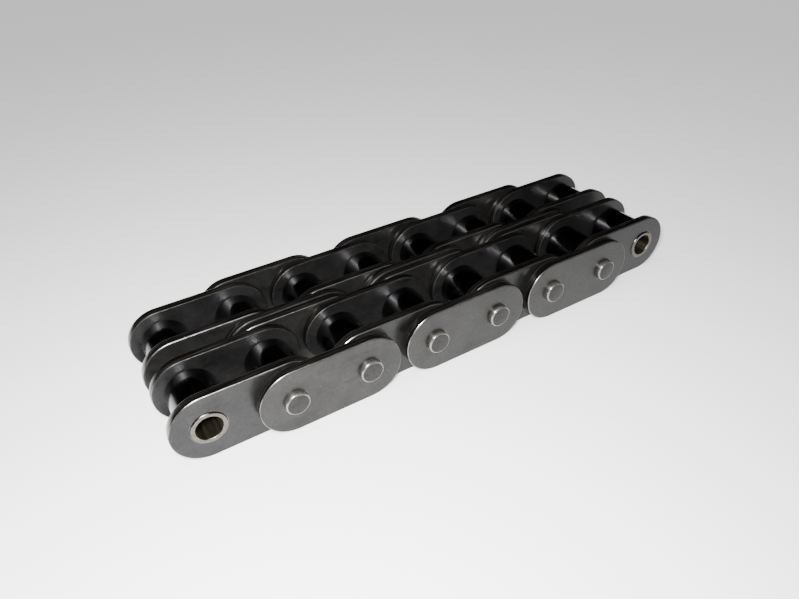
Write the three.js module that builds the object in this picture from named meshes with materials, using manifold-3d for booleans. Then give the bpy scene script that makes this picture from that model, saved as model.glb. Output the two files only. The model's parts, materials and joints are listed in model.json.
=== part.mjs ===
// A length of duplex (two-strand) roller chain with straight side plates.
// Inner links, which carry bushes and rollers, and outer links, which carry pins, take turns along it.
// Both ends are inner links, so their outermost bushes are open.
// Millimetres. The origin is the middle of the chain, on the plane of the pin axes:
// +X runs along the chain, +Y from the front strand to the rear strand, and +Z up.
import * as THREE from "three";
import { mergeVertices } from "three/addons/utils/BufferGeometryUtils.js";
import Module from "manifold-3d";

const wasm = await Module();
wasm.setup();

// Driving dimensions of the chain, ISO 606 size 16A-2.
const PITCH = 25.4;
const TRANSVERSE_PITCH = 29.29; // between the middles of the two strands
const INNER_LINKS = 4; // in each strand
const INNER_WIDTH = 15.75; // between the two plates of one inner link

// Plates
const PLATE_HEIGHT = 23;
const PLATE_THICKNESS = 3.2;
const OUTER_PLATE_GAP = 1.2; // from an inner plate to the outer plate beside it
const CENTRE_PLATE_GAP = 0.2; // between the two centre plates of an outer link

// Round pieces
const PIN_DIAMETER = 7.94;
const PIN_PROUD = 1.75; // of the outer plate, at each end
const BUSH_DIAMETER = 11.1;
const BUSH_BORE = 8.2;
const BUSH_PROUD_OUTSIDE = 0.5; // of the inner plate, on the side away from the other strand
const BUSH_PROUD_INSIDE = 0.1; // of the inner plate, on the side of the centre plates
const ROLLER_DIAMETER = 15.88;
const ROLLER_BORE = 11.6;
const ROLLER_END_PLAY = 0.1; // at each end, to the inner plate
const EDGE_CHAMFER = 0.5; // on pins, bushes and rollers

// Clearance of a pressed piece in its hole, for solids that must not touch.
const PRESS_GAP = 0.05; // on the radius

// Straight sides that stand for a circle, and for each half-round plate end.
const CIRCLE_SIDES = 16;
const PLATE_END_SIDES = 12;

const outerPlateMiddle =
  TRANSVERSE_PITCH / 2 + INNER_WIDTH / 2 + PLATE_THICKNESS + OUTER_PLATE_GAP + PLATE_THICKNESS / 2;
const pinLength = 2 * (outerPlateMiddle + PLATE_THICKNESS / 2 + PIN_PROUD);
const centrePlateMiddle = (PLATE_THICKNESS + CENTRE_PLATE_GAP) / 2;

const plateSteel = new THREE.MeshStandardMaterial({ color: 0x85868a, roughness: 0.42, metalness: 1 });
const pinSteel = new THREE.MeshStandardMaterial({ color: 0xa8a49c, roughness: 0.3, metalness: 1 });
const bushSteel = new THREE.MeshStandardMaterial({ color: 0xb8b2a8, roughness: 0.3, metalness: 1 });
const blackOxide = new THREE.MeshStandardMaterial({ color: 0x17191d, roughness: 0.25, metalness: 0.8 });

// Points of an arc about (x, 0), counterclockwise from one angle to another.
function arcPoints(x, radius, from, to, sides) {
  return new THREE.EllipseCurve(x, 0, radius, radius, from, to, false).getPoints(sides);
}

// A plate with half-round ends, centred on the origin and standing in the XZ plane.
// bores lists each round hole as its x and its radius.
function plateGeometry(bores) {
  const half = Math.PI / 2;
  const outline = new THREE.Shape([
    ...arcPoints(PITCH / 2, PLATE_HEIGHT / 2, -half, half, PLATE_END_SIDES),
    ...arcPoints(-PITCH / 2, PLATE_HEIGHT / 2, half, 3 * half, PLATE_END_SIDES),
  ]);
  for (const [x, radius] of bores) {
    const circle = arcPoints(x, radius, 0, 4 * half, CIRCLE_SIDES);
    outline.holes.push(new THREE.Path(circle.slice(0, CIRCLE_SIDES)));
  }
  const plate = new THREE.ExtrudeGeometry(outline, { depth: PLATE_THICKNESS, bevelEnabled: false });
  return plate.translate(0, 0, -PLATE_THICKNESS / 2).rotateX(half);
}

// A round piece about the Y axis, from its profile of [radius, y] pairs.
function turnedGeometry(profile) {
  const points = profile.map(([radius, y]) => new THREE.Vector2(radius, y));
  return new THREE.LatheGeometry(points, CIRCLE_SIDES);
}

// A ring about the Y axis from y = low to y = high, with its outer edges chamfered.
function ringGeometry(bore, diameter, low, high) {
  const inner = bore / 2;
  const outer = diameter / 2;
  return turnedGeometry([
    [inner, low],
    [outer - EDGE_CHAMFER, low],
    [outer, low + EDGE_CHAMFER],
    [outer, high - EDGE_CHAMFER],
    [outer - EDGE_CHAMFER, high],
    [inner, high],
    [inner, low],
  ]);
}

// A pin about the Y axis that reaches through both strands, its ends chamfered.
function pinGeometry() {
  const radius = PIN_DIAMETER / 2;
  const end = pinLength / 2;
  return turnedGeometry([
    [0, -end],
    [radius - EDGE_CHAMFER, -end],
    [radius, EDGE_CHAMFER - end],
    [radius, end - EDGE_CHAMFER],
    [radius - EDGE_CHAMFER, end],
    [0, end],
  ]);
}

function solidOf(geometry) {
  const bare = geometry.clone();
  bare.deleteAttribute("normal");
  bare.deleteAttribute("uv");
  const merged = mergeVertices(bare, 1e-4);
  const vertProperties = merged.attributes.position.array;
  const triVerts = new Uint32Array(merged.index.array);
  return new wasm.Manifold(new wasm.Mesh({ numProp: 3, vertProperties, triVerts }));
}

function joined(first, second) {
  const mesh = solidOf(first).add(solidOf(second)).getMesh();
  const geometry = new THREE.BufferGeometry();
  geometry.setAttribute("position", new THREE.BufferAttribute(mesh.vertProperties, 3));
  geometry.setIndex(new THREE.BufferAttribute(mesh.triVerts, 1));
  geometry.computeVertexNormals();
  return geometry;
}

function named(name, geometry, material, x, y) {
  const mesh = new THREE.Mesh(geometry, material);
  mesh.name = name;
  mesh.position.set(x, y, 0);
  return mesh;
}

const ends = { left: -PITCH / 2, right: PITCH / 2 };
const strands = { front: -1, rear: 1 }; // the way out from the centre plates

const bushBore = BUSH_DIAMETER / 2 + PRESS_GAP;
const pinBore = PIN_DIAMETER / 2 + PRESS_GAP;
const innerPlate = plateGeometry([[ends.left, bushBore], [ends.right, bushBore]]);
const outerPlate = plateGeometry([[ends.left, pinBore], [ends.right, pinBore]]);
const rollerHalf = INNER_WIDTH / 2 - ROLLER_END_PLAY;
const roller = ringGeometry(ROLLER_BORE, ROLLER_DIAMETER, -rollerHalf, rollerHalf);

// One strand's half of an inner link: two plates, two bushes pressed into them, and a roller on each bush.
function innerStrand(link, strand) {
  const group = new THREE.Group();
  const out = strands[strand];
  group.position.y = out * (TRANSVERSE_PITCH / 2);
  const plateMiddle = (INNER_WIDTH + PLATE_THICKNESS) / 2;
  const name = `${link}_${strand}`;
  group.add(
    named(`inner_plate_${name}_outside`, innerPlate, plateSteel, 0, out * plateMiddle),
    named(`inner_plate_${name}_inside`, innerPlate, plateSteel, 0, -out * plateMiddle),
  );
  const plateFace = INNER_WIDTH / 2 + PLATE_THICKNESS;
  const reach = [-out * (plateFace + BUSH_PROUD_INSIDE), out * (plateFace + BUSH_PROUD_OUTSIDE)];
  const bush = ringGeometry(BUSH_BORE, BUSH_DIAMETER, Math.min(...reach), Math.max(...reach));
  for (const [end, x] of Object.entries(ends)) {
    group.add(
      named(`bush_${name}_${end}`, bush, bushSteel, x, 0),
      named(`roller_${name}_${end}`, roller, blackOxide, x, 0),
    );
  }
  return group;
}

// An outer link: a plate at the front and one at the rear, two centre plates between the strands, and two pins.
// Each pin is one solid with the centre plate that grips it, and runs through a wider hole in the other one.
function outerLink(link) {
  const group = new THREE.Group();
  for (const [side, out] of Object.entries(strands)) {
    group.add(named(`outer_plate_${link}_${side}`, outerPlate, plateSteel, 0, out * outerPlateMiddle));
  }
  const grips = { left: strands.front, right: strands.rear };
  for (const [end, x] of Object.entries(ends)) {
    const plate = plateGeometry([[-x, pinBore]]).translate(-x, grips[end] * centrePlateMiddle, 0);
    group.add(named(`pin_and_centre_plate_${link}_${end}`, joined(pinGeometry(), plate), pinSteel, x, 0));
  }
  return group;
}

const chain = new THREE.Group();
for (let link = 1; link <= INNER_LINKS; link++) {
  const group = new THREE.Group();
  group.position.x = (2 * link - 1 - INNER_LINKS) * PITCH;
  group.add(innerStrand(link, "front"), innerStrand(link, "rear"));
  chain.add(group);
}
for (let link = 1; link < INNER_LINKS; link++) {
  const group = outerLink(link);
  group.position.x = (2 * link - INNER_LINKS) * PITCH;
  chain.add(group);
}

export default chain;
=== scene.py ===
"""Meshes, finishes and studio for a length of duplex roller chain, built on the chain's fixed frame."""

import json
import math

import bpy
from bpy.props import FloatProperty, FloatVectorProperty, PointerProperty
from mathutils import Matrix, Vector


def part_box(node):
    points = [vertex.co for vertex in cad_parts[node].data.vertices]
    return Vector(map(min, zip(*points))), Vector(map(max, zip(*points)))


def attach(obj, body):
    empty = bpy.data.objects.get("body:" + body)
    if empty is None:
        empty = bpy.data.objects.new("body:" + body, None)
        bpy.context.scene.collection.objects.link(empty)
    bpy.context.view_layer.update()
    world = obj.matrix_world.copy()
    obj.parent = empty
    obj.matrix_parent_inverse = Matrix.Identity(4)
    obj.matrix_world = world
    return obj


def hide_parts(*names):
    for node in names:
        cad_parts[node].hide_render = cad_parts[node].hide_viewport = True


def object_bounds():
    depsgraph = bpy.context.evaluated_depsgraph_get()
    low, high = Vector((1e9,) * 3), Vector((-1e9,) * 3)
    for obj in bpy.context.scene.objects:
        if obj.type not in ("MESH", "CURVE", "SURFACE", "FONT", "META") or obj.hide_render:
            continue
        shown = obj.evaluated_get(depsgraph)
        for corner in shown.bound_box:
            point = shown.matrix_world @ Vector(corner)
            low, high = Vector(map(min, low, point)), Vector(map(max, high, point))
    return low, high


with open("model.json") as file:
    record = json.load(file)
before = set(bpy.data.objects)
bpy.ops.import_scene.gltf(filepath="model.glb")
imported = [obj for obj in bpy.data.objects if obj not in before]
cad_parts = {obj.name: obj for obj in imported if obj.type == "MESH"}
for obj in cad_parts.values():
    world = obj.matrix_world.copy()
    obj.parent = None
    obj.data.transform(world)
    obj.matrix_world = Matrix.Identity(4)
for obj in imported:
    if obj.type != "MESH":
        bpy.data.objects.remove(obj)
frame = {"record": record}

bl_info = {
    "name": "Duplex Roller Chain",
    "version": (1, 0, 0),
    "blender": (4, 5, 0),
    "location": "View3D > Sidebar > Chain",
    "description": "Makes a length of duplex roller chain, piece by piece, and a studio for it",
    "category": "Add Mesh",
}

# --------------------------------------------------------------------------------------------------
# What the frame says

FRAME_LOW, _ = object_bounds()
BODY_OF_NODE = {
    node: body for body, nodes in frame["record"]["behaviour"]["bodies"].items() for node in nodes
}
STRANDS = {"front": -1, "rear": 1}  # with the way out along Y from between them
ENDS = {"left": -1, "right": 1}  # of a link, with the way along X from its middle
INNER_LINKS = sum(node.startswith("bush_") for node in BODY_OF_NODE) // (len(STRANDS) * len(ENDS))
OUTER_LINKS = INNER_LINKS - 1


def middle(node):
    """The middle of a frame node's box."""
    low, high = (Vector(corner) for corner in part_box(node))
    return (low + high) / 2


def extent(node):
    """The size of a frame node's box along each axis."""
    low, high = (Vector(corner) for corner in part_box(node))
    return high - low


PLATE_LENGTH, PLATE_THICKNESS, PLATE_HEIGHT = extent("outer_plate_1_front")
PITCH = PLATE_LENGTH - PLATE_HEIGHT
BUSH_DIAMETER, BUSH_LENGTH, _ = extent("bush_1_front_left")
ROLLER_DIAMETER, ROLLER_LENGTH, _ = extent("roller_1_front_left")
PIN_LENGTH = extent("pin_and_centre_plate_1_left").y
FIRST_OUTER_LINK = middle("outer_plate_1_front").x

FACING = {"front": 0.0, "rear": math.pi}  # turns of a plate about Z, for its outward face to look there
PRESS_GAP = 0.00002  # on the radius, between a pressed piece and its hole
BOX_SPARE = 0.00002  # that a piece may reach past its node's box, for rounding

# How finely round shapes are divided. The rim's sides are no multiple of four, so that no point of it lies
# between the two ends of the plate.
RIM_SIDES = 98
BORE_SIDES = 64
TURNED_SIDES = 96
ROUNDING_STEPS = 6
MERGE_DISTANCE = 0.000001


# --------------------------------------------------------------------------------------------------
# Settings


class ChainPlateSettings(bpy.types.PropertyGroup):
    """Sizes of the stamped link plates."""

    rolled_edge: FloatProperty(
        name="Rolled Edge",
        description="Radius that the punch rolls onto the outline of the outward face",
        default=0.0005,
        unit="LENGTH",
    )
    burr_edge: FloatProperty(
        name="Burr Edge",
        description="Radius that tumbling leaves on the outline of the inward face",
        default=0.00018,
        unit="LENGTH",
    )
    land_share: FloatProperty(
        name="Land",
        description="Share of the thickness that is cleanly sheared, from the outward face",
        default=0.58,
        subtype="FACTOR",
    )
    tear_depth: FloatProperty(
        name="Tear Depth",
        description="How far the torn part of the edge lies inside the cleanly sheared part",
        default=0.00008,
        unit="LENGTH",
    )
    bore_edge: FloatProperty(
        name="Bore Edge",
        description="Radius on the edges of the two bores",
        default=0.00015,
        unit="LENGTH",
    )
    centre_gap: FloatProperty(
        name="Centre Gap",
        description="Gap between the two centre plates of an outer link",
        default=0.0002,
        unit="LENGTH",
    )


class ChainPinSettings(bpy.types.PropertyGroup):
    """Sizes of the pins."""

    diameter: FloatProperty(
        name="Diameter",
        description="Diameter of the pin",
        default=0.00794,
        unit="LENGTH",
    )
    rounding: FloatProperty(
        name="End Rounding",
        description="Radius that riveting leaves round the end face",
        default=0.0006,
        unit="LENGTH",
    )
    crown: FloatProperty(
        name="Crown",
        description="How far the middle of the end face stands out from its edge",
        default=0.00006,
        unit="LENGTH",
    )


class ChainRingSettings(bpy.types.PropertyGroup):
    """Sizes of the bushes and of the rollers on them."""

    bush_bore: FloatProperty(
        name="Bush Bore",
        description="Diameter of the bore that the pin turns in",
        default=0.0082,
        unit="LENGTH",
    )
    bush_rounding: FloatProperty(
        name="Bush Rounding",
        description="Radius on the outer edges of a bush",
        default=0.0005,
        unit="LENGTH",
    )
    bush_mouth: FloatProperty(
        name="Bush Mouth",
        description="Radius on the edges of a bush's bore",
        default=0.00035,
        unit="LENGTH",
    )
    roller_bore: FloatProperty(
        name="Roller Bore",
        description="Diameter of the bore that turns on the bush",
        default=0.0114,
        unit="LENGTH",
    )
    roller_rounding: FloatProperty(
        name="Roller Rounding",
        description="Radius on the outer edges of a roller",
        default=0.0005,
        unit="LENGTH",
    )
    roller_mouth: FloatProperty(
        name="Roller Mouth",
        description="Radius on the edges of a roller's bore",
        default=0.0003,
        unit="LENGTH",
    )


def colour_setting(name, description, colour):
    """A colour property with its default."""
    return FloatVectorProperty(
        name=name, description=description, default=colour, subtype="COLOR", size=3, min=0, max=1
    )


class ChainFinishSettings(bpy.types.PropertyGroup):
    """Colours of the metals."""

    inner_face: colour_setting("Inner Plate Face", "Face of an inner plate", (0.0185, 0.0184, 0.0182))
    outer_face: colour_setting("Outer Plate Face", "Face of any other plate", (0.021, 0.0207, 0.0197))
    plate_worn: colour_setting("Plate Worn Edge", "Rubbed edge of a plate", (0.22, 0.208, 0.19))
    plate_sheared: colour_setting("Plate Sheared Edge", "Sheared edge of a plate", (0.024, 0.0222, 0.021))
    pin: colour_setting("Pin", "Riveted end of a pin", (0.0175, 0.0172, 0.0163))
    pin_ring: colour_setting("Pin Ring", "Rubbed ring round the end of a pin", (0.2, 0.191, 0.175))
    pin_wall: colour_setting("Pin Wall", "Ground wall of a pin", (0.4, 0.382, 0.35))
    bush: colour_setting("Bush", "Ground end of a bush", (0.1, 0.093, 0.08))
    bush_bore: colour_setting("Bush Bore", "Oiled inside of a bush", (0.15, 0.137, 0.102))
    roller: colour_setting("Roller", "Black oxide on a roller", (0.042, 0.043, 0.046))


class ChainStudioSettings(bpy.types.PropertyGroup):
    """Camera, floor and lights."""

    azimuth: FloatProperty(
        name="Azimuth",
        description="Direction of the camera round the chain, from straight in front",
        default=math.radians(-29.9),
        subtype="ANGLE",
    )
    elevation: FloatProperty(
        name="Elevation",
        description="Height of the camera above the horizon",
        default=math.radians(35.6),
        subtype="ANGLE",
    )
    roll: FloatProperty(
        name="Roll",
        description="Turn of the camera about its own axis",
        default=math.radians(-2.74),
        subtype="ANGLE",
    )
    focal_length: FloatProperty(
        name="Focal Length",
        description="Focal length of the camera in millimetres, on a 36 mm wide sensor",
        default=28.57,
    )
    camera_place: FloatVectorProperty(
        name="Camera Place",
        description="Where the camera stands, in pitches from the middle of the chain",
        default=(-4.0956, -6.4992, 5.2688),
        size=3,
    )
    floor: colour_setting("Floor", "Plain floor", (0.86, 0.86, 0.86))
    backdrop: colour_setting("Backdrop", "What the camera sees beyond the floor", (0.713, 0.713, 0.713))
    overhead_strength: FloatProperty(
        name="Overhead Strength",
        description="Strength of the wide soft light from above, in watts per square metre",
        default=2.8,
    )
    front_power: FloatProperty(
        name="Front Power",
        description="Strength of the light beside the camera, in watts",
        default=3.2,
    )


# --------------------------------------------------------------------------------------------------
# Node trees


class Wire:
    """An output of a node that can be reckoned with: each sum or product adds its own Math node."""

    def __init__(self, tree, socket):
        self.tree = tree
        self.socket = socket

    def math(self, operation, *others):
        return self.tree.add("ShaderNodeMath", dict(enumerate((self, *others))), operation=operation)

    def other(self, name):
        """Another output of the same node."""
        return Wire(self.tree, self.socket.node.outputs[name])

    def __add__(self, other):
        return self.math("ADD", other)

    def __sub__(self, other):
        return self.math("SUBTRACT", other)

    def __mul__(self, other):
        return self.math("MULTIPLY", other)

    def __truediv__(self, other):
        return self.math("DIVIDE", other)

    def __neg__(self):
        return self * -1.0


class Tree:
    """A node tree, with one call that adds a node, sets it and wires it up."""

    def __init__(self, data):
        self.data = data

    def add(self, kind, inputs=None, output=0, **properties):
        node = self.data.nodes.new(kind)
        for name, value in properties.items():
            setattr(node, name, value)
        for key, value in (inputs or {}).items():
            self.plug(value, node.inputs[key])
        return Wire(self, node.outputs[output]) if len(node.outputs) else node

    def plug(self, value, socket):
        if isinstance(value, Wire):
            self.data.links.new(value.socket, socket)
        else:
            socket.default_value = value


class PieceTree(Tree):
    """A Geometry Nodes tree that makes one kind of piece, with named inputs for its sizes and its row."""

    def __init__(self, name):
        super().__init__(bpy.data.node_groups.new(name, "GeometryNodeTree"))
        self.data.interface.new_socket("Geometry", in_out="OUTPUT", socket_type="NodeSocketGeometry")
        self.given = self.data.nodes.new("NodeGroupInput")

    def size(self, name, kind="Float"):
        """A named input of the tree."""
        self.data.interface.new_socket(name, in_out="INPUT", socket_type="NodeSocket" + kind)
        return Wire(self, self.given.outputs[name])

    def choose(self, data_type, values):
        """The value whose place in the list is the index of the point at hand."""
        node = self.data.nodes.new("GeometryNodeIndexSwitch")
        node.data_type = data_type
        while len(node.index_switch_items) < len(values):
            node.index_switch_items.new()
        self.plug(self.add("GeometryNodeInputIndex"), node.inputs["Index"])
        for number, value in enumerate(values):
            self.plug(value, node.inputs[str(number)])
        return Wire(self, node.outputs[0])

    def section(self, corners):
        """A curve through corners, each (distance out, distance along, rounding)."""
        line = self.add("GeometryNodeMeshLine", {"Count": len(corners)})
        curve = self.add("GeometryNodeMeshToCurve", {"Mesh": line})
        places = [self.add("ShaderNodeCombineXYZ", {"X": out, "Y": along}) for out, along, _ in corners]
        curve = self.add(
            "GeometryNodeSetPosition", {"Geometry": curve, "Position": self.choose("VECTOR", places)}
        )
        roundings = self.choose("FLOAT", [rounding for *_, rounding in corners])
        return self.add(
            "GeometryNodeFilletCurve",
            {"Curve": curve, "Count": ROUNDING_STEPS, "Radius": roundings, "Limit Radius": True},
            mode="POLY",
        )

    def circle(self, radius, sides):
        return self.add("GeometryNodeCurvePrimitiveCircle", {"Resolution": sides, "Radius": radius})

    def swept(self, radius, sides, corners):
        """A section swept round a circle. Distances out are counted from the circle."""
        inputs = {"Curve": self.circle(radius, sides), "Profile Curve": self.section(corners)}
        return self.add("GeometryNodeCurveToMesh", inputs)

    def moved(self, geometry, x=0.0, y=0.0, z=0.0):
        place = self.add("ShaderNodeCombineXYZ", {"X": x, "Y": y, "Z": z})
        return self.add("GeometryNodeTransform", {"Geometry": geometry, "Translation": place})

    def joined(self, *parts):
        node = self.data.nodes.new("GeometryNodeJoinGeometry")
        for part in reversed(parts):
            self.data.links.new(part.socket, node.inputs[0])
        return Wire(self, node.outputs[0])

    def finish_row(self, piece):
        """Stands the piece up, sets it out in a row along X, keeps the chosen one, and ends the tree."""
        whole = self.add("GeometryNodeMergeByDistance", {"Geometry": piece, "Distance": MERGE_DISTANCE})
        upright = self.add(
            "GeometryNodeTransform", {"Geometry": whole, "Rotation": (math.pi / 2, 0.0, 0.0)}
        )
        marked = self.add(
            "GeometryNodeStoreNamedAttribute",
            {
                "Geometry": upright,
                "Name": "on_piece",
                "Value": self.add("GeometryNodeInputPosition"),
            },
            data_type="FLOAT_VECTOR",
        )
        smooth = self.add("GeometryNodeSetShadeSmooth", {"Geometry": marked})
        step = self.add("ShaderNodeCombineXYZ", {"X": self.size("Spacing")})
        row = self.add(
            "GeometryNodeMeshLine",
            {
                "Count": self.size("Count", "Int"),
                "Start Location": self.size("First", "Vector"),
                "Offset": step,
            },
        )
        left_out = self.add(
            "FunctionNodeCompare",  # inputs 2 and 3 are the ones for whole numbers
            {2: self.add("GeometryNodeInputIndex"), 3: self.size("Number", "Int")},
            data_type="INT",
            operation="NOT_EQUAL",
        )
        place = self.add("GeometryNodeDeleteGeometry", {"Geometry": row, "Selection": left_out})
        turn = self.add("ShaderNodeCombineXYZ", {"Z": self.size("Turn")})
        copies = self.add(
            "GeometryNodeInstanceOnPoints", {"Points": place, "Instance": smooth, "Rotation": turn}
        )
        real = self.add("GeometryNodeRealizeInstances", {"Geometry": copies})
        finished = self.add(
            "GeometryNodeSetMaterial", {"Geometry": real, "Material": self.size("Material", "Material")}
        )
        end = self.data.nodes.new("NodeGroupOutput")
        self.plug(finished, end.inputs[0])
        return self.data


def plate_tree():
    """A stamped plate: a sheared rim swept round its outline, two bores, and two filled faces."""
    tree = PieceTree("Link Plate")
    pitch = tree.size("Pitch")
    radius = tree.size("Height") / 2.0
    half = tree.size("Thickness") / 2.0
    bore = tree.size("Bore Radius")
    rolled = tree.size("Rolled Edge")
    burr = tree.size("Burr Edge")
    land = tree.size("Land Depth")
    tear = tree.size("Tear Depth")
    bore_edge = tree.size("Bore Edge")
    flat = 0.0003  # flat rim kept between each rounding and the filled face
    land_rounding = 0.00004  # where the sheared land breaks off
    tear_rounding = 0.00006  # at the foot of the break
    break_height = tear * 2.0  # of the slope from the land down to the torn part
    lean = tear * 2.0  # how far in the torn part has leant at the burr

    front_in = rolled + flat
    back_in = lean + burr + flat
    rim = tree.swept(
        radius,
        RIM_SIDES,
        [
            (-front_in, -half, 0.0),
            (0.0, -half, rolled),
            (0.0, land - half, land_rounding),
            (-tear, land - half + break_height, tear_rounding),
            (-lean, half, burr),
            (-back_in, half, 0.0),
        ],
    )
    bore_out = bore_edge + flat
    wall = tree.swept(
        bore,
        BORE_SIDES,
        [(bore_out, half, 0.0), (0.0, half, bore_edge), (0.0, -half, bore_edge), (bore_out, -half, 0.0)],
    )
    ways = (-0.5, 0.5)  # from the middle of the plate to its bores, in pitches
    walls = tree.joined(*(tree.moved(wall, x=pitch * way) for way in ways))

    x = tree.add("ShaderNodeSeparateXYZ", {"Vector": tree.add("GeometryNodeInputPosition")})
    apart = tree.add("ShaderNodeCombineXYZ", {"X": x.math("SIGN") * pitch / 2.0})

    def stretched(geometry):
        """Pulls the two halves of a round outline apart, to the two ends of the plate."""
        return tree.add("GeometryNodeSetPosition", {"Geometry": geometry, "Offset": apart})

    def face(inset, height):
        outline = stretched(tree.circle(radius - inset, RIM_SIDES))
        mouth = tree.circle(bore + bore_out, BORE_SIDES)
        mouths = [tree.moved(mouth, x=pitch * way) for way in ways]
        curves = tree.joined(outline, *mouths)
        filled = tree.add("GeometryNodeFillCurve", {"Curve": curves}, mode="TRIANGLES")
        return tree.moved(filled, z=height)

    back = tree.add("GeometryNodeFlipFaces", {"Mesh": face(back_in, -half)})
    return tree.finish_row(tree.joined(stretched(rim), walls, face(front_in, half), back))


def ring_tree():
    """A turned ring, rounded at its outer edges and at the mouths of its bore."""
    tree = PieceTree("Turned Ring")
    radius = tree.size("Radius")
    bore = tree.size("Bore Radius") - radius
    half = tree.size("Length") / 2.0
    rounding = tree.size("Rounding")
    mouth = tree.size("Mouth")
    clear = 1.6  # where the straight part starts, in radii of the rounding before it
    shoulder = half - rounding * clear
    neck = half - mouth * clear
    ring = tree.swept(
        radius,
        TURNED_SIDES,
        [
            (bore, 0.0, 0.0),
            (bore, -neck, 0.0),
            (bore, -half, mouth),
            (0.0, -half, rounding),
            (0.0, -shoulder, 0.0),
            (0.0, shoulder, 0.0),
            (0.0, half, rounding),
            (bore, half, mouth),
            (bore, neck, 0.0),
            (bore, 0.0, 0.0),
        ],
    )
    return tree.finish_row(ring)


def pin_tree():
    """A pin, each end face slightly crowned inside its rounded edge."""
    tree = PieceTree("Riveted Pin")
    radius = tree.size("Radius")
    half = tree.size("Length") / 2.0
    rounding = tree.size("Rounding")
    crown = tree.size("Crown")
    shoulder = half - rounding * 2.0  # where the straight wall starts
    brow = (radius * -0.75, half - crown * 0.4, radius * 0.5)  # where the crown starts to fall away
    ending = [
        (-radius, half, 0.0),
        brow,
        (0.0, half - crown, rounding),
        (0.0, shoulder, 0.0),
    ]
    far_end = [(out, -along, rounded) for out, along, rounded in ending]
    return tree.finish_row(tree.swept(radius, TURNED_SIDES, [*far_end, *reversed(ending)]))


# --------------------------------------------------------------------------------------------------
# Finishes

# Where a mark begins and where it is full, in metres from the edge or face that it follows.
SHEAR_FROM_RIM = (0.0005, 0.0002)
SHEAR_FROM_FACE = (0.00015, 0.00045)
RUB_FROM_RIM = (0.00062, 0.0003)
RUB_FROM_BORE = (0.0005, 0.0003)
PIN_RING_FROM_SIDE = (0.0005, 0.0002)
PIN_RING_FROM_END = (0.0011, 0.0006)
PIN_WALL_FROM_END = (0.0005, 0.0008)
OIL_FROM_BORE = (0.0003, 0.00008)
ROLLER_RUB_FROM_SIDE = (0.0006, 0.0001)
ROLLER_RUB_FROM_END = (0.0008, 0.0003)

# How far a noise makes the start of a mark wander, in metres.
RIM_WANDER = 0.0006
BORE_WANDER = 0.0004
PIN_WANDER = 0.0002
ROLLER_WANDER = 0.0007

SCORE_ANGLES = (0.35, 1.2, 2.5)  # at which fine scores run across a plate


class Finish(Tree):
    """A metal, with the coordinates that its patterns run on."""

    def __init__(self, name, oil, oil_roughness):
        self.material = bpy.data.materials.new(name)
        self.material.use_nodes = True
        super().__init__(self.material.node_tree)
        self.shader = self.data.nodes["Principled BSDF"]
        self.shader.inputs["Coat Weight"].default_value = oil
        self.shader.inputs["Coat Roughness"].default_value = oil_roughness
        self.everywhere = self.add("ShaderNodeTexCoord", output="Object")
        on_piece = self.add("ShaderNodeAttribute", output="Vector", attribute_name="on_piece")
        self.x = self.add("ShaderNodeSeparateXYZ", {"Vector": on_piece})
        self.y = self.x.other("Y")
        self.z = self.x.other("Z")

    def noise(self, scale, detail=3.0, stretch=(1.0, 1.0, 1.0)):
        """Noise of a scale in marks per metre, stretched along the axes."""
        place = self.add("ShaderNodeMapping", {"Vector": self.everywhere, "Scale": stretch})
        return self.add("ShaderNodeTexNoise", {"Vector": place, "Scale": scale, "Detail": detail})

    def scores(self, angle):
        """Fine marks, long and narrow, that run at an angle across the faces."""
        inputs = {"Vector": self.everywhere, "Rotation": (0.0, angle, 0.0), "Scale": (1.0, 1.0, 0.05)}
        place = self.add("ShaderNodeMapping", inputs, vector_type="TEXTURE")
        return self.add("ShaderNodeTexNoise", {"Vector": place, "Scale": 190.0, "Detail": 2.0})

    def ramp(self, value, low, high, start=0.0, end=1.0):
        """A value carried smoothly from one range to another, and held at its ends."""
        inputs = {"Value": value, "From Min": low, "From Max": high, "To Min": start, "To Max": end}
        return self.add("ShaderNodeMapRange", inputs, interpolation_type="SMOOTHSTEP")

    def swing(self, noise, start, end):
        """Nearly the whole swing of a noise, carried to another range."""
        return self.ramp(noise, 0.3, 0.7, start, end)

    def mix(self, share, first, second):
        """A colour between two colours."""
        # The node has sockets for each type of value: inputs 6 and 7 and output 2 are the ones for colours.
        inputs = {0: share}
        for number, colour in ((6, first), (7, second)):
            inputs[number] = colour if isinstance(colour, Wire) else (*colour, 1.0)
        return self.add("ShaderNodeMix", inputs, output=2, data_type="RGBA")

    def scaled(self, colour, amount):
        """A colour made darker or lighter by an amount that varies over the surface."""
        return self.add("ShaderNodeVectorMath", {"Vector": colour, "Scale": amount}, operation="SCALE")

    def finished(self, colour, bareness, roughness, *bumps):
        """Sets the shader. Each bump is a height and the depth in metres of its deepest mark."""
        normal = None
        for height, depth in bumps:
            inputs = {"Height": height, "Strength": 1.0, "Distance": depth}
            if normal:
                inputs["Normal"] = normal
            normal = self.add("ShaderNodeBump", inputs)
        self.plug(colour, self.shader.inputs["Base Color"])
        self.plug(bareness, self.shader.inputs["Metallic"])
        self.plug(roughness, self.shader.inputs["Roughness"])
        self.plug(normal, self.shader.inputs["Normal"])
        return self.material


def across(first, second):
    """The length of a vector of two parts."""
    return (first * first + second * second).math("SQRT")


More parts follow.
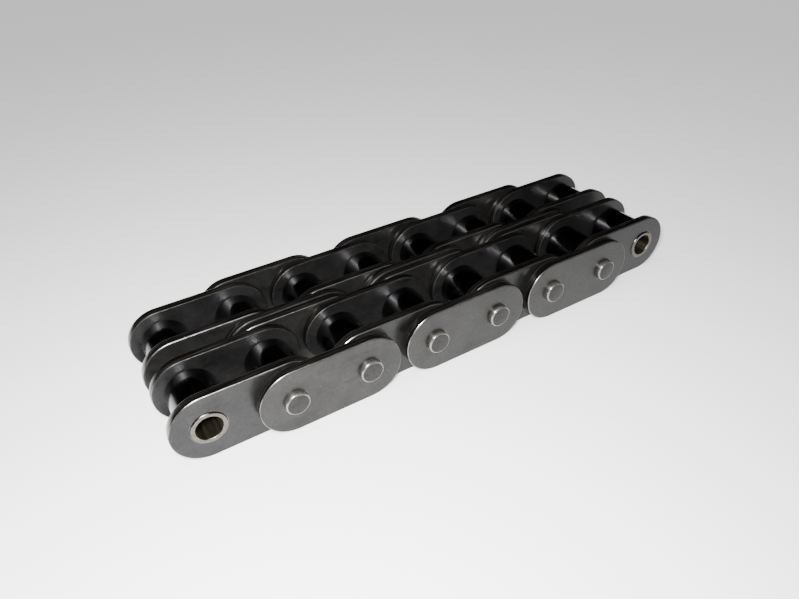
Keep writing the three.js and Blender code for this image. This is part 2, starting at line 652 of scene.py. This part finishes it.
def plate_finish(name, face_colour, colours, bore_radius):
    """Tumbled steel: speckled faces, rubbed outlines, and a sheared edge banded along the outline."""
    metal = Finish(name, oil=0.1, oil_roughness=0.15)
    from_end = metal.x.math("ABSOLUTE") - PITCH / 2
    from_rim = -across(from_end.math("MAXIMUM", 0.0), metal.z) + PLATE_HEIGHT / 2
    from_bore = across(from_end, metal.z) - bore_radius
    from_face = -metal.y.math("ABSOLUTE") + PLATE_THICKNESS / 2

    cloud = metal.noise(110.0, detail=5.0)
    smears = metal.noise(75.0, detail=4.0, stretch=(1.0, 1.0, 2.5))
    grain = metal.noise(3200.0, detail=2.0)
    mottle = metal.noise(850.0)
    nicks = metal.noise(520.0)
    bands = metal.noise(700.0, stretch=(0.1, 3.2, 0.1))
    dots = {"Vector": metal.everywhere, "Scale": 1500.0}
    pits = metal.add("ShaderNodeTexVoronoi", dots, output="Distance")
    first, second, third = (metal.scores(angle) for angle in SCORE_ANGLES)
    scores = first.math("MAXIMUM", second).math("MAXIMUM", third)

    # Where each mark lies, from 0 to 1.
    on_edge = metal.ramp(from_rim, *SHEAR_FROM_RIM) * metal.ramp(from_face, *SHEAR_FROM_FACE)
    outward = metal.ramp(metal.y, 0.0, -0.001, 0.25, 1.0)
    rubbed_rim = metal.ramp(from_rim + nicks * RIM_WANDER, *RUB_FROM_RIM) * outward
    rubbed_bore = metal.ramp(from_bore + nicks * BORE_WANDER, *RUB_FROM_BORE) * 0.5
    rub = rubbed_rim.math("MAXIMUM", rubbed_bore)
    smeared = metal.ramp(smears, 0.52, 0.7)
    scored = metal.ramp(scores, 0.67, 0.75)
    pitted = metal.ramp(pits, 0.16, 0.06) * metal.ramp(cloud, 0.42, 0.6)

    face = metal.scaled(face_colour, metal.swing(cloud, 0.8, 1.18))
    face = metal.scaled(face, metal.swing(grain, 0.82, 1.18))
    face = metal.scaled(face, metal.swing(mottle, 0.9, 1.1))
    face = metal.scaled(face, smeared * -0.28 + 1.0)
    face = metal.mix(scored * 0.07, face, colours.plate_worn)
    face = metal.scaled(face, pitted * -0.5 + 1.0)
    edge = metal.mix(metal.ramp(bands, 0.44, 0.68, 0.0, 0.7), colours.plate_sheared, colours.plate_worn)
    colour = metal.mix(on_edge, metal.mix(rub * 0.85, face, colours.plate_worn), edge)
    polish = rub * 0.14 + smeared * 0.1 + metal.ramp(bands, 0.35, 0.65, 0.02, 0.14) * on_edge
    return metal.finished(
        colour,
        metal.ramp(on_edge.math("MAXIMUM", rub), 0.0, 1.0, 0.73, 0.95),
        metal.swing(cloud, 0.32, 0.44) - polish,
        (grain, 0.000006),
        (-pitted, 0.000012),
        (-scored, 0.000004),
        (bands * on_edge, 0.00009),
    )


def pin_finish(colours, radius, half_length):
    """Riveted steel: a spun and mottled end face inside a bright ring, and a ground wall."""
    metal = Finish("riveted_pin_steel", oil=0.1, oil_roughness=0.12)
    from_side = -across(metal.x, metal.z) + radius
    from_end = -metal.y.math("ABSOLUTE") + half_length
    mottle = metal.noise(900.0, detail=4.0)
    grinding = metal.noise(500.0, detail=2.0, stretch=(0.3, 8.0, 0.3))
    outermost = metal.ramp(from_side - mottle * PIN_WANDER, *PIN_RING_FROM_SIDE)
    ring = outermost * metal.ramp(from_end, *PIN_RING_FROM_END)
    wall = metal.ramp(from_end, *PIN_WALL_FROM_END)
    face = metal.scaled(colours.pin, metal.swing(mottle, 0.75, 1.2))
    colour = metal.mix(ring, face, colours.pin_ring)
    colour = metal.mix(wall * metal.swing(grinding, 0.08, 0.32), colour, colours.pin_wall)
    roughness = metal.swing(mottle, 0.26, 0.42) - ring * 0.1
    return metal.finished(colour, 0.85, roughness, (mottle, 0.00003), (grinding * wall, 0.00001))


def bush_finish(colours, bore_radius):
    """Ground steel, bright at its ends and dark with oil in its bore."""
    metal = Finish("ground_bush_steel", oil=0.1, oil_roughness=0.12)
    grain = metal.noise(1200.0)
    drawn = metal.noise(900.0, stretch=(1.0, 0.03, 1.0))
    inside = metal.ramp(across(metal.x, metal.z) - bore_radius, *OIL_FROM_BORE)
    bright = metal.scaled(colours.bush, metal.swing(grain, 0.85, 1.12))
    oiled = metal.scaled(colours.bush_bore, metal.ramp(drawn, 0.35, 0.65, 0.6, 1.25))
    colour = metal.mix(inside, bright, oiled)
    roughness = metal.swing(grain, 0.2, 0.32) + inside * 0.12
    return metal.finished(colour, 1.0, roughness, (grain, 0.000012))


def roller_finish(colours, radius, half_length):
    """Oiled black oxide, rubbed to steel here and there along its end edges."""
    metal = Finish("black_oxide_roller", oil=0.7, oil_roughness=0.11)
    from_side = -across(metal.x, metal.z) + radius
    from_end = -metal.y.math("ABSOLUTE") + half_length
    cloud = metal.noise(260.0)
    grain = metal.noise(2200.0, detail=2.0)
    drawing = metal.noise(420.0, detail=2.0, stretch=(0.5, 6.0, 0.5))
    rubbed = metal.ramp(from_end + cloud * ROLLER_WANDER, *ROLLER_RUB_FROM_END)
    edge = metal.ramp(from_side, *ROLLER_RUB_FROM_SIDE) * rubbed
    black = metal.scaled(colours.roller, metal.swing(cloud, 0.75, 1.3))
    colour = metal.mix(edge * 0.1, black, colours.plate_worn)
    roughness = metal.swing(cloud, 0.18, 0.26)
    return metal.finished(colour, 1.0, roughness, (grain, 0.000002), (drawing, 0.0000015))


# --------------------------------------------------------------------------------------------------
# Making pieces


def made_piece(tree, name, sizes):
    """A plain mesh object of what a tree makes with these sizes, on the scene with no modifier left."""
    piece = bpy.data.objects.new(name, bpy.data.meshes.new(name))
    bpy.context.scene.collection.objects.link(piece)
    modifier = piece.modifiers.new("Piece", "NODES")
    modifier.node_group = tree
    identifiers = {
        item.name: item.identifier
        for item in tree.interface.items_tree
        if item.item_type == "SOCKET" and item.in_out == "INPUT"
    }
    for label, value in sizes.items():
        modifier[identifiers[label]] = value
    depsgraph = bpy.context.evaluated_depsgraph_get()
    mesh = bpy.data.meshes.new_from_object(piece.evaluated_get(depsgraph), depsgraph=depsgraph)
    piece.modifiers.remove(modifier)
    piece.data = mesh
    mesh.name = name
    if not mesh.polygons:
        raise RuntimeError(f"{name} came out empty")
    return piece


def settle(piece, node):
    """Hands a finished piece to the frame in place of its node, once it is sure to lie inside the node."""
    low, high = (Vector(corner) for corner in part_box(node))
    spare = Vector((BOX_SPARE, BOX_SPARE, BOX_SPARE))
    for vertex in piece.data.vertices:
        inside = all(a <= c <= b for a, c, b in zip(low - spare, vertex.co, high + spare))
        if not inside:
            raise RuntimeError(f"{piece.name} reaches out of {node} at {tuple(vertex.co)}")
    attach(piece, BODY_OF_NODE[node])
    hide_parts(node)


class Rows:
    """Makes rows of one kind of piece along the chain, each piece in place of its own frame node."""

    def __init__(self, name, nodes, slot, tree, sizes, finish):
        self.name = name
        self.nodes = nodes
        self.slot = slot
        self.tree = tree
        self.sizes = sizes
        self.finish = finish

    def add(self, place, count, turn=0.0, start=None):
        """Makes the pieces at one place in each link, from a given start or else from the first node."""
        start = start or middle(f"{self.nodes}_1_{place}")
        for number in range(count):
            label = f"{number + 1}_{place}"
            row = {
                "First": tuple(start),
                "Spacing": 2 * PITCH,
                "Count": count,
                "Number": number,
                "Turn": turn,
                "Material": self.finish,
            }
            piece = made_piece(self.tree, f"{self.name}_{label}", {**self.sizes, **row})
            settle(piece, f"{self.nodes}_{label}")


def plate_rows(scene, name, nodes, finish_name, face_colour, pressed_diameter):
    """Rows of one kind of plate, bored for the bushes or pins that are pressed into it."""
    settings = scene.chain_plate
    bore_radius = pressed_diameter / 2 + PRESS_GAP
    sizes = {
        "Pitch": PITCH,
        "Height": PLATE_HEIGHT,
        "Thickness": PLATE_THICKNESS,
        "Bore Radius": bore_radius,
        "Rolled Edge": settings.rolled_edge,
        "Burr Edge": settings.burr_edge,
        "Land Depth": settings.land_share * PLATE_THICKNESS,
        "Tear Depth": settings.tear_depth,
        "Bore Edge": settings.bore_edge,
    }
    finish = plate_finish(finish_name, face_colour, scene.chain_finish, bore_radius)
    return Rows(name, nodes, "plate_steel", plate_tree(), sizes, finish)


class CHAIN_OT_inner_plates(bpy.types.Operator):
    """Makes the inner link plates, which the bushes are pressed into"""

    bl_idname = "chain.inner_plates"
    bl_label = "Inner Plates"

    def execute(self, context):
        scene = context.scene
        rows = plate_rows(
            scene,
            "inner_link_plate",
            "inner_plate",
            "tumbled_inner_plate_steel",
            scene.chain_finish.inner_face,
            BUSH_DIAMETER,
        )
        for strand in STRANDS:
            for side in ("outside", "inside"):
                looks = "front" if (strand == "front") == (side == "outside") else "rear"
                rows.add(f"{strand}_{side}", INNER_LINKS, FACING[looks])
        return {"FINISHED"}


class CHAIN_OT_outer_plates(bpy.types.Operator):
    """Makes the outer link plates, which the pins are riveted in"""

    bl_idname = "chain.outer_plates"
    bl_label = "Outer Plates"

    def execute(self, context):
        scene = context.scene
        rows = plate_rows(
            scene,
            "outer_link_plate",
            "outer_plate",
            "tumbled_outer_plate_steel",
            scene.chain_finish.outer_face,
            scene.chain_pin.diameter,
        )
        for strand in STRANDS:
            rows.add(strand, OUTER_LINKS, FACING[strand])
        return {"FINISHED"}


class CHAIN_OT_centre_plates(bpy.types.Operator):
    """Makes the pairs of centre plates between the strands"""

    bl_idname = "chain.centre_plates"
    bl_label = "Centre Plates"

    def execute(self, context):
        scene = context.scene
        rows = plate_rows(
            scene,
            "centre_plate",
            "pin_and_centre_plate",
            "tumbled_centre_plate_steel",
            scene.chain_finish.outer_face,
            scene.chain_pin.diameter,
        )
        from_middle = (PLATE_THICKNESS + scene.chain_plate.centre_gap) / 2
        # The left pin of a link carries its front centre plate, and the right pin its rear one.
        for end, (strand, out) in zip(ENDS, STRANDS.items()):
            start = (FIRST_OUTER_LINK, out * from_middle, 0.0)
            rows.add(end, OUTER_LINKS, FACING[strand], start)
        return {"FINISHED"}


class CHAIN_OT_pins(bpy.types.Operator):
    """Makes the pins, which run through both strands"""

    bl_idname = "chain.pins"
    bl_label = "Pins"

    def execute(self, context):
        settings = context.scene.chain_pin
        radius = settings.diameter / 2
        sizes = {
            "Radius": radius,
            "Length": PIN_LENGTH,
            "Rounding": settings.rounding,
            "Crown": settings.crown,
        }
        finish = pin_finish(context.scene.chain_finish, radius, PIN_LENGTH / 2)
        rows = Rows("pin", "pin_and_centre_plate", "pin_steel", pin_tree(), sizes, finish)
        for end, way in ENDS.items():
            rows.add(end, OUTER_LINKS, start=(FIRST_OUTER_LINK + way * PITCH / 2, 0.0, 0.0))
        return {"FINISHED"}


def make_rings(name, nodes, slot, sizes, finish):
    """Makes a row of rings for each strand and for each end of the inner links."""
    rows = Rows(name, nodes, slot, ring_tree(), sizes, finish)
    for strand in STRANDS:
        for end in ENDS:
            rows.add(f"{strand}_{end}", INNER_LINKS)


class CHAIN_OT_bushes(bpy.types.Operator):
    """Makes the bushes, pressed into the inner plates"""

    bl_idname = "chain.bushes"
    bl_label = "Bushes"

    def execute(self, context):
        settings = context.scene.chain_ring
        bore_radius = settings.bush_bore / 2
        sizes = {
            "Radius": BUSH_DIAMETER / 2,
            "Bore Radius": bore_radius,
            "Length": BUSH_LENGTH,
            "Rounding": settings.bush_rounding,
            "Mouth": settings.bush_mouth,
        }
        finish = bush_finish(context.scene.chain_finish, bore_radius)
        make_rings("link_bush", "bush", "bush_steel", sizes, finish)
        return {"FINISHED"}


class CHAIN_OT_rollers(bpy.types.Operator):
    """Makes the rollers, free to turn on the bushes"""

    bl_idname = "chain.rollers"
    bl_label = "Rollers"

    def execute(self, context):
        settings = context.scene.chain_ring
        radius = ROLLER_DIAMETER / 2
        sizes = {
            "Radius": radius,
            "Bore Radius": settings.roller_bore / 2,
            "Length": ROLLER_LENGTH,
            "Rounding": settings.roller_rounding,
            "Mouth": settings.roller_mouth,
        }
        finish = roller_finish(context.scene.chain_finish, radius, ROLLER_LENGTH / 2)
        make_rings("link_roller", "roller", "roller_black_oxide", sizes, finish)
        return {"FINISHED"}


# --------------------------------------------------------------------------------------------------
# Studio

FLOOR_REACH = 12.0  # metres, far enough for its edge to be lost in the distance
FLOOR_ROUGHNESS = 0.8
OVERHEAD_WIDTH = math.radians(70)  # of sky that the overhead light fills, for soft shadows
OVERHEAD_TURN = (math.radians(12), math.radians(-18), 0.0)
FRONT_WIDTH = 1.6 * PITCH
FRONT_PLACE = Vector((-4.8, -6.5, 6.5)) * PITCH
FRONT_TARGET = Vector((-3.9, -1.0, 0.0)) * PITCH
SENSOR_WIDTH = 36.0  # millimetres


class CHAIN_OT_studio(bpy.types.Operator):
    """Makes the floor, the lights and the camera"""

    bl_idname = "chain.studio"
    bl_label = "Studio"

    def execute(self, context):
        scene = context.scene
        settings = scene.chain_studio
        self.make_floor(scene, settings)
        self.make_lights(scene, settings)
        self.make_backdrop(scene, settings)
        self.make_camera(scene, settings)
        return {"FINISHED"}

    def make_lights(self, scene, settings):
        overhead = bpy.data.lights.new("overhead", "SUN")
        overhead.energy = settings.overhead_strength
        overhead.angle = OVERHEAD_WIDTH
        above = bpy.data.objects.new("overhead", overhead)
        above.rotation_euler = OVERHEAD_TURN
        above.visible_glossy = False  # it lights the floor, and the metal mirrors only the lit floor
        scene.collection.objects.link(above)

        front = bpy.data.lights.new("front_left", "AREA")
        front.shape = "SQUARE"
        front.size = FRONT_WIDTH
        front.energy = settings.front_power
        beside_camera = bpy.data.objects.new("front_left", front)
        beside_camera.location = FRONT_PLACE
        beside_camera.rotation_euler = (FRONT_PLACE - FRONT_TARGET).to_track_quat("Z", "Y").to_euler()
        scene.collection.objects.link(beside_camera)

    def make_backdrop(self, scene, settings):
        world = bpy.data.worlds.new("backdrop")
        scene.world = world
        world.use_nodes = True
        world.node_tree.nodes["Background"].inputs["Color"].default_value = (*settings.backdrop, 1.0)
        world.cycles_visibility.diffuse = False
        world.cycles_visibility.glossy = False

    def make_floor(self, scene, settings):
        mesh = bpy.data.meshes.new("floor")
        corners = [(-1, -1), (1, -1), (1, 1), (-1, 1)]
        places = [(x * FLOOR_REACH, y * FLOOR_REACH, FRAME_LOW[2]) for x, y in corners]
        mesh.from_pydata(places, [], [(0, 1, 2, 3)])
        paint = bpy.data.materials.new("floor_paint")
        paint.use_nodes = True
        shader = paint.node_tree.nodes["Principled BSDF"]
        shader.inputs["Base Color"].default_value = (*settings.floor, 1.0)
        shader.inputs["Roughness"].default_value = FLOOR_ROUGHNESS
        shader.inputs["Specular IOR Level"].default_value = 0.0
        mesh.materials.append(paint)
        floor = bpy.data.objects.new("floor", mesh)
        scene.collection.objects.link(floor)

    def make_camera(self, scene, settings):
        lens = bpy.data.cameras.new("camera")
        lens.sensor_width = SENSOR_WIDTH
        lens.lens = settings.focal_length
        camera = bpy.data.objects.new("camera", lens)
        place = Vector(settings.camera_place) * PITCH
        turned = (
            Matrix.Rotation(settings.azimuth, 4, "Z")
            @ Matrix.Rotation(math.pi / 2 - settings.elevation, 4, "X")
            @ Matrix.Rotation(settings.roll, 4, "Z")
        )
        camera.matrix_world = Matrix.Translation(place) @ turned
        scene.collection.objects.link(camera)
        scene.camera = camera


# --------------------------------------------------------------------------------------------------
# Panel and registration

MAKERS = (
    CHAIN_OT_studio,
    CHAIN_OT_inner_plates,
    CHAIN_OT_outer_plates,
    CHAIN_OT_centre_plates,
    CHAIN_OT_bushes,
    CHAIN_OT_rollers,
    CHAIN_OT_pins,
)
SETTINGS = {
    "chain_plate": ChainPlateSettings,
    "chain_pin": ChainPinSettings,
    "chain_ring": ChainRingSettings,
    "chain_finish": ChainFinishSettings,
    "chain_studio": ChainStudioSettings,
}


class CHAIN_PT_parts(bpy.types.Panel):
    """Lists what makes the chain, and its settings"""

    bl_idname = "CHAIN_PT_parts"
    bl_label = "Duplex Roller Chain"
    bl_space_type = "VIEW_3D"
    bl_region_type = "UI"
    bl_category = "Chain"

    def draw(self, context):
        for maker in MAKERS:
            self.layout.operator(maker.bl_idname)
        for name, group in SETTINGS.items():
            box = self.layout.box()
            box.label(text=group.__doc__)
            for setting in group.__annotations__:
                box.prop(getattr(context.scene, name), setting)


def register():
    for group in SETTINGS.values():
        bpy.utils.register_class(group)
    for name, group in SETTINGS.items():
        setattr(bpy.types.Scene, name, PointerProperty(type=group))
    for maker in MAKERS:
        bpy.utils.register_class(maker)
    bpy.utils.register_class(CHAIN_PT_parts)


def unregister():
    bpy.utils.unregister_class(CHAIN_PT_parts)
    for maker in reversed(MAKERS):
        bpy.utils.unregister_class(maker)
    for name in SETTINGS:
        delattr(bpy.types.Scene, name)
    for group in reversed(SETTINGS.values()):
        bpy.utils.unregister_class(group)


def main():
    register()
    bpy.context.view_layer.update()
    for maker in MAKERS:
        name = maker.bl_idname.split(".")[1]
        getattr(bpy.ops.chain, name)()


if __name__ == "__main__":
    main()
